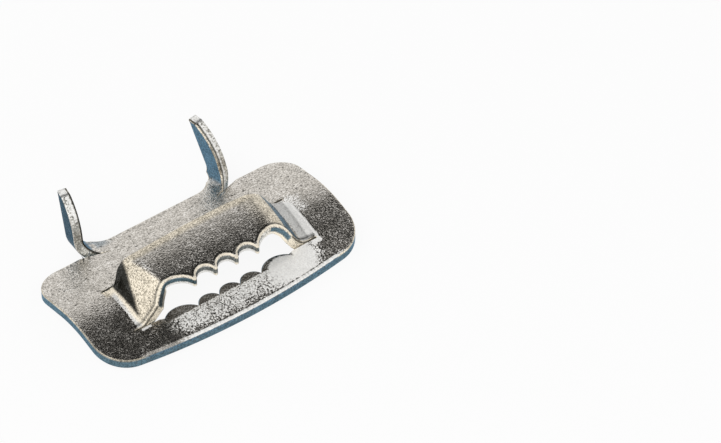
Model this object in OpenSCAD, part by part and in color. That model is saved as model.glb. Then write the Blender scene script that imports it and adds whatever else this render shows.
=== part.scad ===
// Strapping buckle pressed from one piece of sheet steel.
// Frame: +Z up, toothed rail to the front (-Y), ears at the back (+Y), lowest edge on z = 0.

/* [Sheet] */
// Sheet thickness
sheet = 1.4; // [1:0.1:1.8]
// Slope of the two flats either side of the long bend, in degrees
roof = 12; // [6:0.5:16]
// Radius under the long bend
bend_r = 14; // [10:1:24]

/* [Plate] */
// Length over the two ends
plate_length = 42.2; // [40:0.2:50]
// Long bend to the back edge between the ears
back_reach = 11.5; // [10.5:0.1:13]
// Long bend to the middle of the front edge
front_reach = 10.9; // [10.2:0.1:13]
// Radius of the bulged front edge
front_bulge = 125; // [90:5:300]
// Front corner radius
front_corner = 5; // [3:0.25:6]
// Back corner radius
back_corner = 4; // [2:0.25:6]
// Set-in of the back corners behind the ears
back_step = 1.1; // [0.6:0.1:1.6]
// Depth of the pressed bevel along the front edge
bevel_depth = 0.4; // [0.2:0.05:0.8]
// Width of the pressed bevel along the front edge
bevel_width = 0.5; // [0.3:0.05:1]
// Length of the pressed bevel along the front edge
bevel_length = 31.6; // [26:0.2:33]

/* [Bridge] */
// Top of the bridge above the underside of the plate
bridge_top = 5.7; // [5:0.1:7]
// Flat length along the top of the bridge
bridge_flat = 18.6; // [17:0.2:20]
// Angle of the two ramps to the plate, in degrees
ramp_angle = 61; // [50:1:72]
// Outer radius of the shoulders
shoulder_r = 2.6; // [1.9:0.1:3.2]
// Radius in the feet of the ramps
foot_r = 2; // [0.8:0.1:2.4]
// Length of the two cuts that free the bridge
cut_length = 29.8; // [29:0.2:31]
// Long bend to the back edge of the bridge
bridge_back = 2; // [1:0.1:3]
// Long bend to the front edge of the ramps
ramp_front = 5.8; // [5.4:0.1:6]
// Width of the cut beside the ramps
kerf = 0.2; // [0.1:0.05:0.4]

/* [Teeth] */
// Distance from tooth to tooth
tooth_pitch = 3.42; // [3:0.02:3.6]
// Long bend to the tips of the teeth
tooth_front = 6.2; // [5.8:0.05:6.6]
// Radius of the bites between the teeth
bite_r = 1.77; // [1.72:0.01:2.2]
// Radius of the two end bites
end_bite_r = 3; // [2.6:0.05:3.2]
// Set-back of the end bites behind the tips
end_bite_deep = 1.78; // [1.5:0.02:2]

/* [Rail] */
// Long bend to the valleys between the lobes
valley_front = 6.86; // [6.7:0.02:7.2]
// Radius of the lobes between the valleys
lobe_r = 1.74; // [1.72:0.01:2.4]
// Radius of the two end lobes
end_lobe_r = 3.1; // [2.8:0.05:3.4]
// Height of the end lobes above the valleys
end_lobe_high = 1.85; // [1.4:0.05:1.95]
// Down-turn of the lobes, in degrees
lobe_turn = 20; // [10:1:30]

/* [Ears] */
// Distance between the inner faces at the front of the ears
ear_gap = 22.6; // [21.6:0.1:23.4]
// Height of the left ear above the plate
ear_left = 7.6; // [6.5:0.1:9]
// Height of the right ear above the plate
ear_right = 8.5; // [6.5:0.1:9]
// Toe-in of the ears towards the back, in degrees
ear_toe = 8; // [2:0.5:10]
// Lean of the ears towards each other, in degrees
ear_over = 4; // [0:0.5:8]
// Inner radius of the bend at the root of the ears
ear_bend = 1.4; // [1:0.1:1.6]
// Width of the ears just above the root
ear_width = 2.8; // [2.4:0.1:3.2]
// Width of the blunt tips
tip_width = 1.25; // [0.8:0.05:1.6]
// Radius of the sweep from the back edge to the ears
sweep_r = 3.05; // [2.6:0.05:3.4]

/* [Hidden] */
$fn = 96;
half = plate_length / 2;
corner_back = back_reach - back_step;
root_in = ear_gap / 2 - ear_bend * cos(ear_toe);
outer_r = bend_r + sheet;
ear_set = 0.04;
ear_y = back_reach + ear_set;
blade_low = 1.9;
tab_front = 1.9;
tab_back = 1.5;
blade_lean = 0.2;
heel = 0.5;
heel_in = 0.1;
tip_rise = 0.25;
slit_in = 1.15;
slit_deep = 2.6;
slit_long = 4.25;
bridge_front_turn = 32;
bridge_back_turn = 14;
flange = 0.3;
foot_sink = 0.02;
lobe_lap = 0.08;
cut_lap = 0.3;
tab_lap = 0.1;
root_lap = 0.15;
margin = 4;
tab_x = ear_gap / 2 - ear_bend * cos(ear_toe) - tab_back * sin(ear_toe);
tab_y = ear_y + (tab_back * cos(ear_toe) - ear_bend * sin(ear_toe)) * cos(roof) - sheet * sin(roof);
sweep_y = back_reach + sweep_r;
sweep_x = tab_x - tab_lap - sqrt(pow(sweep_r, 2) - pow(sweep_y - tab_y, 2));
ear_lean = norm([sin(ear_toe) * sin(roof), cos(roof)]);
ear_low = sin(roof) * (tab_back * cos(ear_toe) - ear_bend * sin(ear_toe))
  + (ear_bend + sheet) * ear_lean - ear_bend * cos(roof);
crest = ear_low + bend_r - outer_r / cos(roof) + tan(roof) * ear_y;
axis_z = crest - bend_r;
bulge_y = front_bulge - front_reach;
fc_x = half - front_corner;
fc_y = bulge_y - sqrt(pow(front_bulge - front_corner, 2) - fc_x * fc_x);
ramp_drop = bridge_top - sheet - (shoulder_r + foot_r) * (1 - cos(ramp_angle));
ramp_run = ramp_drop / sin(ramp_angle);
shoulder_x = bridge_flat / 2;
foot_x = shoulder_x + (shoulder_r + foot_r) * sin(ramp_angle) + ramp_run * cos(ramp_angle);
cut_x = max(cut_length / 2, foot_x + flange);
end_x = 1.5 * tooth_pitch;
bite_y = -tooth_front - sqrt(bite_r * bite_r - tooth_pitch * tooth_pitch / 4);
end_bite_y = -tooth_front + end_bite_deep - end_bite_r;
end_bite_x = end_x + sqrt(end_bite_r * end_bite_r - pow(end_bite_y + tooth_front, 2));
lobe_y = -valley_front - sqrt(lobe_r * lobe_r - tooth_pitch * tooth_pitch / 4);
end_lobe_y = -valley_front + end_lobe_high - end_lobe_r;
end_lobe_x = end_x + sqrt(end_lobe_r * end_lobe_r - pow(end_lobe_y + valley_front, 2));
slit_x = root_in - slit_in;
slit_y = back_reach - slit_deep;
slit_out = slit_x + slit_long;
reach = 16;
tall = 30;

function top_z(y) = axis_z + outer_r / cos(roof) - tan(roof) * abs(y);
function blade_back(n) = ear_width - heel_in + blade_lean * n;

// Lays a section drawn as depth and height along the length of the plate.
module along(long) {
  translate([-long / 2, 0, axis_z])
    rotate([90, 0, 90])
      linear_extrude(long)
        children();
}

// Turns a profile drawn as length and radius about the axis of the long bend.
module about_bend(front, back) {
  translate([0, 0, axis_z])
    rotate([180, 0, 0])
      rotate([0, 90, 0])
        rotate([0, 0, -back])
          rotate_extrude(angle = front + back)
            rotate(90)
              mirror([0, 1])
                children();
}

// Bent sheet seen from its end.
module sheet_section() {
  sheet_arc(bend_r, 90 - roof, 90 + roof);
  rotate(-roof)
    translate([0, bend_r])
      square([reach, sheet]);
  rotate(roof)
    translate([-reach, bend_r])
      square([reach, sheet]);
}

// Space under the bent sheet seen from its end.
module under_section() {
  circle(bend_r);
  rotate(-roof)
    square([reach, bend_r]);
  rotate(roof)
    translate([-reach, 0])
      square([reach, bend_r]);
}

// Stands a plan outline up through the whole part.
module upright() {
  translate([0, 0, -tall / 2])
    linear_extrude(tall)
      children();
}

module both_sides() {
  children();
  mirror([1, 0, 0])
    children();
}

// Area outside a back corner.
module back_corner_cut() {
  translate([half - back_corner, corner_back - back_corner])
    difference() {
      square(back_corner + margin);
      circle(back_corner);
    }
}

// Area outside a front corner.
module front_corner_cut() {
  far = (front_corner + margin) / (front_bulge - front_corner);
  tip = [fc_x * (1 + far), fc_y + (fc_y - bulge_y) * far];
  difference() {
    polygon([[fc_x, fc_y], [half + margin, fc_y], [half + margin, tip[1]], tip]);
    translate([fc_x, fc_y])
      circle(front_corner);
  }
}

// Area behind the ear's slit, up to the bend line of the ear.
module slit_cut() {
  foot = [ear_gap / 2, ear_y];
  c = cos(ear_toe);
  s = sin(ear_toe);
  k = cos(roof);
  front = [foot[0] - ear_bend * c + tab_front * s, foot[1] - (tab_front * c + ear_bend * s) * k];
  back = [foot[0] - ear_bend * c - margin * s, foot[1] + (margin * c - ear_bend * s) * k];
  polygon([[slit_x, slit_y], front, back, [slit_out + margin, back[1]], [slit_out + margin, corner_back],
    [slit_out, corner_back]]);
}

module tab_plan() {
  difference() {
    translate([0, corner_back - margin])
      square([root_in + root_lap, tab_y - corner_back + margin]);
    translate([sweep_x, sweep_y])
      circle(sweep_r);
    translate([-margin, back_reach])
      square([sweep_x + margin, sweep_r + margin]);
  }
}

module plate_plan() {
  difference() {
    union() {
      intersection() {
        translate([-half, -front_reach - margin])
          square([plate_length, front_reach + margin + corner_back]);
        translate([0, bulge_y])
          circle(front_bulge);
      }
      both_sides()
        tab_plan();
    }
    both_sides() {
      back_corner_cut();
      front_corner_cut();
      slit_cut();
    }
  }
}

// Scallops of the rail that stand in the window.
module lobe_plan() {
  for (i = [-1 : 1])
    translate([i * tooth_pitch, lobe_y])
      circle(lobe_r);
  both_sides()
    translate([end_lobe_x, end_lobe_y])
      circle(end_lobe_r);
}

// Opening left in the plate under the bridge, with the lobes of the rail standing in it.
module window_plan() {
  difference() {
    union() {
      translate([-foot_x, -ramp_front - kerf])
        square([2 * foot_x, ramp_front + bridge_back + 2 * kerf]);
      translate([-cut_x, -ramp_front - kerf])
        square([2 * cut_x, kerf]);
      translate([-cut_x, bridge_back])
        square([2 * cut_x, kerf]);
      translate([-end_lobe_x, -valley_front - cut_lap])
        square([2 * end_lobe_x, valley_front + cut_lap]);
    }
    lobe_plan();
  }
}

module bridge_plan() {
  difference() {
    union() {
      translate([-half, -ramp_front])
        square([plate_length, ramp_front + bridge_back]);
      translate([-end_bite_x, -tooth_front - cut_lap])
        square([2 * end_bite_x, tooth_front + cut_lap]);
    }
    for (i = [-1 : 1])
      translate([i * tooth_pitch, bite_y])
        circle(bite_r);
    both_sides()
      translate([end_bite_x, end_bite_y])
        circle(end_bite_r);
  }
}

// Ring of sheet between two directions.
module sheet_arc(inner, from, to) {
  far = 2 * (inner + sheet);
  mid = (from + to) / 2;
  intersection() {
    difference() {
      circle(inner + sheet);
      circle(inner);
    }
    polygon([[0, 0], far * [cos(from), sin(from)], far * [cos(mid), sin(mid)], far * [cos(to), sin(to)]]);
  }
}

module half_bridge_profile() {
  translate([0, bridge_top - sheet])
    square([shoulder_x, sheet]);
  translate([shoulder_x, bridge_top - shoulder_r])
    sheet_arc(shoulder_r - sheet, 90 - ramp_angle, 90);
  translate([shoulder_x, bridge_top - shoulder_r])
    rotate(-ramp_angle)
      translate([0, shoulder_r - sheet])
        square([ramp_run, sheet]);
  translate([foot_x, sheet + foot_r])
    sheet_arc(foot_r, 270 - ramp_angle, 270);
  translate([foot_x, 0])
    square([flange, sheet]);
}

// Metal struck off the top of the lobes to turn them down.
module lobe_cut() {
  intersection() {
    translate([-half, -valley_front - lobe_lap, top_z(valley_front + lobe_lap)])
      rotate([roof - lobe_turn, 0, 0])
        cube([plate_length, margin, margin]);
    upright() {
      translate([-end_lobe_x, end_lobe_y])
        square([2 * end_lobe_x, end_lobe_r + end_lobe_high]);
      both_sides()
        translate([end_lobe_x, end_lobe_y])
          circle(end_lobe_r + lobe_lap);
    }
  }
}

module front_bevel() {
  ring = front_bulge * cos(roof);
  steep = bevel_depth / bevel_width;
  intersection() {
    translate([0, -front_reach, top_z(front_reach)])
      rotate([roof, 0, 0])
        translate([0, ring, 0])
          rotate_extrude($fn = 192)
            polygon([[ring - bevel_width - 1, steep], [ring + 1, -bevel_depth - steep], [ring + 1, steep]]);
    translate([-bevel_length / 2, -front_reach - margin, -tall / 2])
      cube([bevel_length, 2 * margin, tall]);
  }
}

module plate() {
  difference() {
    intersection() {
      along(plate_length + margin)
        sheet_section();
      upright()
        plate_plan();
    }
    upright()
      window_plan();
    lobe_cut();
    front_bevel();
  }
}

module bridge() {
  difference() {
    intersection() {
      about_bend(bridge_front_turn, bridge_back_turn)
        translate([0, bend_r - foot_sink])
          both_sides()
            half_bridge_profile();
      upright()
        bridge_plan();
    }
    along(plate_length)
      under_section();
  }
}

// Outline of an ear seen from its side, with the plate top at height 0.
module ear_outline(high) {
  top_back = [blade_back(high + tip_rise), high + tip_rise];
  nose = top_back[0] - tip_width;
  arc_r = (nose * nose + pow(high - blade_low, 2)) / (2 * nose);
  fall = tip_rise / tip_width * (nose + 1);
  intersection() {
    translate([arc_r, blade_low])
      circle(arc_r);
    polygon([[-1, blade_low], [blade_back(blade_low), blade_low], top_back, [-1, high - fall]]);
  }
  difference() {
    polygon([[-tab_front, -margin], [tab_back, -margin], [tab_back, 0], [blade_back(heel), heel],
      [blade_back(blade_low), blade_low], [-tab_front, blade_low]]);
    translate([-tab_front, blade_low])
      circle(tab_front);
  }
}

// Bent root and upright of an ear seen from its front.
module ear_section() {
  translate([-ear_bend - flange, -sheet])
    square([flange, sheet]);
  translate([-ear_bend, ear_bend])
    sheet_arc(ear_bend, 270, 360 + ear_over);
  translate([-ear_bend, ear_bend])
    rotate(ear_over)
      translate([ear_bend, 0])
        square([sheet, reach]);
}

module ear(high) {
  difference() {
    translate([ear_gap / 2, ear_y, top_z(ear_y)])
      rotate([-roof, 0, 0])
        rotate([0, 0, ear_toe])
          intersection() {
            rotate([90, 0, 0])
              translate([0, 0, -tall / 2])
                linear_extrude(tall)
                  ear_section();
            rotate([90, 0, 90])
              translate([0, 0, -tall / 2])
                linear_extrude(tall)
                  ear_outline(high);
          }
    translate([sweep_x, sweep_y, -tall / 2])
      cylinder(r = sweep_r, h = tall);
  }
}

module buckle() {
  color("silver")
    union() {
      plate();
      bridge();
      ear(ear_right);
      mirror([1, 0, 0])
        ear(ear_left);
    }
}

buckle();
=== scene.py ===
"""Looks of a strapping buckle pressed from one steel sheet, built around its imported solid.

The sheet is drawn as a flat pattern with its cut edges, laid over the long bend, raised into the
toothed bridge and folded up into the ears, and then given its thickness and rolled edges.
"""
import logging
from dataclasses import dataclass, field
from enum import Enum
from math import acos, asin, atan2, cos, dist, hypot, pi, radians, sin, sqrt, tan

import bpy
import numpy as np
from mathutils import Matrix, Vector
from mathutils.geometry import delaunay_2d_cdt


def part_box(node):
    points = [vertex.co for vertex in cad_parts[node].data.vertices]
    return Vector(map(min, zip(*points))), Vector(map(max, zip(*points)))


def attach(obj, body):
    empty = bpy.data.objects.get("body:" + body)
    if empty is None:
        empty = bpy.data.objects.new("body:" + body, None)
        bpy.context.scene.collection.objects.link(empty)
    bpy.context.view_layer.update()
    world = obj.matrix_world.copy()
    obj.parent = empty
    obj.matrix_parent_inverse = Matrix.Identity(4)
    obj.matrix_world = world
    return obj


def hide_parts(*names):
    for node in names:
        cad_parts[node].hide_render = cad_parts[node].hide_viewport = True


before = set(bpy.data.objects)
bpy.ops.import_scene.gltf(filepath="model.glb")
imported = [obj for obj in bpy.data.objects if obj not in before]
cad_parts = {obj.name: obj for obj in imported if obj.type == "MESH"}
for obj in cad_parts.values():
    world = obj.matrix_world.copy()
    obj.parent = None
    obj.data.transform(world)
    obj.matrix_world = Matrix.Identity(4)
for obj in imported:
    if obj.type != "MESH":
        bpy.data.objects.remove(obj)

LOG = logging.getLogger("buckle")
NODE = "buckle"
BODY = "root"
# Marks on the mesh: painted blue reflection, painted warm reflection, painted shade and dark
# reflection, and matt steel with painted highlights.
PAINTED_LIGHT_AND_WEAR = ("cool", "warm", "soot", "matt")
MM = 0.001
SAME_SPOT = 0.03
RIGHT_EAR_HIGH = 8.5
LEFT_EAR_HIGH = 7.6
TINY = 1e-12
PARALLEL = 1e-9
MERGE = 1e-6

Point = tuple[float, float]
Shares = dict[str, np.ndarray]
Socket = bpy.types.NodeSocket


class Zone(Enum):
    """Part of the pressing that a point of the flat pattern belongs to."""

    PLATE = 0
    BRIDGE = 1
    RIGHT_EAR = 2
    LEFT_EAR = 3


EAR_ZONES = (Zone.RIGHT_EAR.value, Zone.LEFT_EAR.value)


class Skin(Enum):
    """Material slots of the pressing, in order."""

    FACE = 0
    CUT = 1


@dataclass(frozen=True)
class Spacing:
    """Longest distances between neighbouring points of the cut edges, in millimetres."""

    kerf: float = 0.1
    tooth: float = 0.16
    fillet: float = 0.2
    sweep: float = 0.25
    corner: float = 0.3
    slit: float = 0.35
    blade: float = 0.4
    tip: float = 0.45
    bulge: float = 0.5
    run: float = 0.6


SPACING = Spacing()


def arc(centre: Point, radius: float, start: float, stop: float, step: float) -> list[Point]:
    """Points along an arc, both ends included.

    Args:
        centre: Centre of the arc.
        radius: Radius of the arc.
        start: First direction, in radians.
        stop: Last direction, in radians.
        step: Longest distance between neighbours.

    Returns:
        The points in order.
    """
    count = max(2, int(abs(stop - start) * radius / step) + 1)
    turns = np.linspace(start, stop, count + 1)
    return [(centre[0] + radius * cos(t), centre[1] + radius * sin(t)) for t in turns]


def straight(start: Point, stop: Point, step: float) -> list[Point]:
    """Points along a straight edge, both ends included.

    Args:
        start: First point.
        stop: Last point.
        step: Longest distance between neighbours.

    Returns:
        The points in order.
    """
    dx, dy = stop[0] - start[0], stop[1] - start[1]
    count = max(1, int(hypot(dx, dy) / step) + 1)
    return [(start[0] + dx * s, start[1] + dy * s) for s in np.linspace(0.0, 1.0, count + 1)]


def mirrored(points: list[Point]) -> list[Point]:
    """The points on the other side of the middle, in reverse order."""
    return [(-x, y) for x, y in reversed(points)]


def lattice(columns: np.ndarray, rows: np.ndarray) -> list[Point]:
    """Places where columns and rows cross."""
    return [(x, y) for y in rows for x in columns]


def band(value: np.ndarray, low: float, high: float, soft: float) -> np.ndarray:
    """Share of 1 between two limits, falling to 0 over a soft width outside them."""
    return np.clip(np.minimum(value - low, high - value) / soft + 1.0, 0.0, 1.0)


def climb(value: np.ndarray, low: float, high: float) -> np.ndarray:
    """Share that climbs from 0 at one limit to 1 at the other."""
    return np.clip((value - low) / (high - low), 0.0, 1.0)


@dataclass
class CutEdge:
    """One closed cut through the sheet, with the metal on its left."""

    points: list = field(default_factory=list)
    zones: list = field(default_factory=list)
    rounds: list = field(default_factory=list)
    folded_back: float = 1e-3

    def add(self, points: list, zone: Zone, rounding: float) -> None:
        """Appends a stretch of edge, leaving out points that repeat the last one.

        Args:
            points: Points of the stretch, in order.
            zone: Part of the pressing that the stretch belongs to.
            rounding: Radius of its rolled top edge.
        """
        for point in points:
            if self.points and dist(point, self.points[-1]) < SAME_SPOT:
                continue
            self.points.append(point)
            self.zones.append(zone)
            self.rounds.append(rounding)

    def close(self) -> None:
        """Drops a last point that repeats the first."""
        if dist(self.points[0], self.points[-1]) < SAME_SPOT:
            self.points.pop()
            self.zones.pop()
            self.rounds.pop()

    def turn_round(self) -> None:
        """Runs the edge the other way."""
        for row in (self.points, self.zones, self.rounds):
            row.reverse()

    def soft_rounds(self, reach: int = 3) -> np.ndarray:
        """Roundings, eased from one stretch to the next over a few points either way."""
        rounds = np.array(self.rounds)
        return sum(np.roll(rounds, k) for k in range(-reach, reach + 1)) / (2 * reach + 1)

    def coords(self) -> np.ndarray:
        """The points as an array."""
        return np.array(self.points, float)

    def inward(self) -> np.ndarray:
        """Directions into the metal at the points."""
        co = self.coords()
        ahead = np.roll(co, -1, axis=0) - co
        ahead /= np.linalg.norm(ahead, axis=1)[:, None]
        along = ahead + np.roll(ahead, 1, axis=0)
        size = np.linalg.norm(along, axis=1)[:, None]
        along = np.where(size > self.folded_back, along / np.maximum(size, self.folded_back), ahead)
        return np.stack([-along[:, 1], along[:, 0]], axis=1)


@dataclass(frozen=True)
class Scallop:
    """Round lobe or bite of a toothed edge, in millimetres."""

    x: float
    y: float
    radius: float

    @property
    def centre(self) -> Point:
        """Its middle."""
        return (self.x, self.y)

    def crest(self, x: np.ndarray) -> np.ndarray:
        """Depth of its back edge at places along the plate."""
        return self.y + np.sqrt(np.maximum(self.radius ** 2 - (x - self.x) ** 2, 0.0))

    def gap(self, x: np.ndarray, y: np.ndarray) -> np.ndarray:
        """Distance of places outside its edge."""
        return np.hypot(x - self.x, y - self.y) - self.radius


@dataclass
class Stock:
    """Sheet with the long bend that runs under the whole pressing, in millimetres."""

    gauge: float = 1.4
    roof: float = radians(12.0)
    bend: float = 14.0
    crest: float = 2.348

    @property
    def axis(self) -> float:
        """Height of the axis of the long bend."""
        return self.crest - self.bend

    def lift(self, high: np.ndarray, y: np.ndarray) -> np.ndarray:
        """Height of the surface that lies a given distance above the underside.

        Args:
            high: Distance above the underside.
            y: Distance from the long bend, in plan.

        Returns:
            The height above the ground.
        """
        ring = self.bend + high
        curved = np.sqrt(np.maximum(ring * ring - y * y, 1e-6))
        flat = ring / cos(self.roof) - tan(self.roof) * np.abs(y)
        return self.axis + np.where(np.abs(y) > ring * sin(self.roof), flat, curved)


@dataclass
class Plate:
    """Saddle plate: its outline, front bevel and the scalloped rail, in millimetres."""

    stock: Stock
    half: float
    front: float
    back: float = 11.5
    bulge: float = 125.0
    front_corner: float = 5.0
    back_corner: float = 4.0
    step: float = 1.1
    bevel_deep: float = 0.36
    bevel_wide: float = 0.45
    bevel_half: float = 15.8
    bevel_fade: float = 0.35
    pitch: float = 3.42
    valley: float = 6.86
    lobe: float = 1.735
    end_lobe: float = 3.1
    end_high: float = 1.85
    turn: float = radians(20.0)
    turn_lead: float = 0.08
    turn_soft: float = 0.02
    turn_fade: float = 0.8

    @property
    def shoulder(self) -> float:
        """Depth of the back edge beside the ears."""
        return self.back - self.step

    @property
    def bulge_centre(self) -> Point:
        """Centre of the bulged front edge."""
        return (0.0, self.bulge - self.front)

    @property
    def front_centre(self) -> Point:
        """Centre of the right front corner."""
        x = self.half - self.front_corner
        return (x, self.bulge_centre[1] - sqrt((self.bulge - self.front_corner) ** 2 - x * x))

    @property
    def lobes(self) -> list[Scallop]:
        """Scallops from the middle one to the right."""
        low = -self.valley - sqrt(self.lobe ** 2 - self.pitch ** 2 / 4)
        end_low = -self.valley + self.end_high - self.end_lobe
        end_x = 1.5 * self.pitch + sqrt(self.end_lobe ** 2 - (end_low + self.valley) ** 2)
        middle, second = (Scallop(k * self.pitch, low, self.lobe) for k in (0, 1))
        return [middle, second, Scallop(end_x, end_low, self.end_lobe)]

    def front_edge(self) -> list[Point]:
        """Right half of the front edge, round the corner and along the end to the back edge."""
        c, f = self.bulge_centre, self.front_centre
        lean = atan2(f[1] - c[1], f[0] - c[0])
        edge = arc(c, self.bulge, -pi / 2, lean, SPACING.bulge)
        edge += arc(f, self.front_corner, lean, 0.0, SPACING.corner)
        b = (self.half - self.back_corner, self.shoulder - self.back_corner)
        edge += straight(edge[-1], (self.half, b[1]), SPACING.run)
        return edge + arc(b, self.back_corner, 0.0, pi / 2, SPACING.corner)

    def rail_edge(self, stop: float) -> list[Point]:
        """Right half of the scalloped edge of the rail.

        Args:
            stop: Depth at which the last scallop runs out.

        Returns:
            The points from the middle to the right.
        """
        cusps = [0.0, 0.5 * self.pitch, 1.5 * self.pitch]
        edge = []
        for k, lobe in enumerate(self.lobes):
            first = acos((cusps[k] - lobe.x) / lobe.radius)
            if k < 2:
                last = acos((cusps[k + 1] - lobe.x) / lobe.radius)
            else:
                last = asin((stop - lobe.y) / lobe.radius)
            edge += arc(lobe.centre, lobe.radius, first, last, SPACING.tooth)
        return edge

    def front_gap(self, x: np.ndarray, y: np.ndarray) -> np.ndarray:
        """Distance of places behind the bulged front edge."""
        c = self.bulge_centre
        return self.bulge - np.hypot(x - c[0], y - c[1])

    def sink(self, x: np.ndarray, y: np.ndarray) -> np.ndarray:
        """Depth struck off the top: the front bevel and the turned-down scallops.

        Args:
            x: Places along the plate.
            y: Places from front to back.

        Returns:
            The depth at each place.
        """
        ends = np.clip((self.bevel_half - np.abs(x)) / self.bevel_fade + 0.5, 0.0, 1.0)
        share = np.clip(1.0 - self.front_gap(x, y) / self.bevel_wide, 0.0, 1.3)
        bevel = self.bevel_deep * share * ends
        behind = y + self.valley + self.turn_lead
        soft = 0.5 * (behind + np.sqrt(behind * behind + self.turn_soft))
        wide = self.lobes[2].x + self.end_lobe
        slope = tan(self.turn - self.stock.roof) + tan(self.stock.roof)
        lobes = slope * soft * np.clip((wide - np.abs(x)) / self.turn_fade, 0.0, 1.0)
        return bevel + np.where((y < 0) & (y > -self.valley - 1.0), lobes, 0.0)


def roll_ball(rows: np.ndarray, step: float, radius: np.ndarray, side: float) -> np.ndarray:
    """Rounds height profiles with a ball that rolls along them.

    Args:
        rows: Heights, one profile per row.
        step: Distance between the heights.
        radius: Radius of the ball, one per row.
        side: 1 to roll above and fill hollows, -1 to roll below and round crests.

    Returns:
        The rounded heights.
    """
    reach = int(radius.max() / step)
    result = side * rows
    for pick, sign in ((np.maximum, 1.0), (np.minimum, -1.0)):
        padded = np.pad(result, ((0, 0), (reach, reach)), mode="edge")
        best = None
        for k in range(-reach, reach + 1):
            over = radius ** 2 - (k * step) ** 2
            cap = np.where(over >= 0, np.sqrt(np.maximum(over, 0.0)), -1e3)[:, None]
            moved = padded[:, reach + k:reach + k + result.shape[1]] + sign * cap
            best = moved if best is None else pick(best, moved)
        result = best
    return side * result


@dataclass(frozen=True)
class Ramp:
    """Profile of one ramp of the bridge, in millimetres.

    An easy upper facet meets, at a crease, a steeper lower one that runs out towards the front.
    """

    corner_front: float
    corner_back: float
    slope: float
    steep: float
    foot_back: float
    shoulder: float
    crease_front: float
    crease_back: float
    fillet: float
    stations: int = 40
    reach: float = 18.0

    def profiles(self, top: float, gauge: float, grid: float) -> np.ndarray:
        """Heights above the underside, one row per station from front to back.

        Args:
            top: Height of the bridge's flat top.
            gauge: Height of the plate's top face.
            grid: Distance between the heights.

        Returns:
            The rounded heights, from the middle outwards.
        """
        share = np.linspace(0.0, 1.0, self.stations)[:, None]
        x = np.arange(0.0, self.reach, grid)[None]
        corner = self.corner_front + (self.corner_back - self.corner_front) * share
        meet = self.corner_front + (top - gauge) / tan(self.slope)
        foot = meet + (self.foot_back - meet) * share
        ones = np.ones(len(share))
        crease = self.crease_front + (self.crease_back - self.crease_front) * share[:, 0]
        easy = np.minimum(top, top - (x - corner) * tan(self.slope))
        easy = roll_ball(easy, grid, self.shoulder * ones, -1.0)
        ramp = np.minimum(easy, gauge + (foot - x) * tan(self.steep))
        ramp = roll_ball(np.maximum(ramp, 0.0), grid, crease, -1.0)
        return roll_ball(np.maximum(ramp, gauge), grid, self.fillet * ones, 1.0)


LEFT_RAMP = Ramp(corner_front=9.2, corner_back=11.2, slope=radians(46.0), steep=radians(80.0),
                 foot_back=12.95, shoulder=1.9, crease_front=0.4, crease_back=2.0, fillet=1.2)
RIGHT_RAMP = Ramp(corner_front=9.9, corner_back=10.48, slope=radians(58.0), steep=radians(58.0),
                  foot_back=13.17, shoulder=3.4, crease_front=0.1, crease_back=0.1, fillet=2.2)


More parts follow.
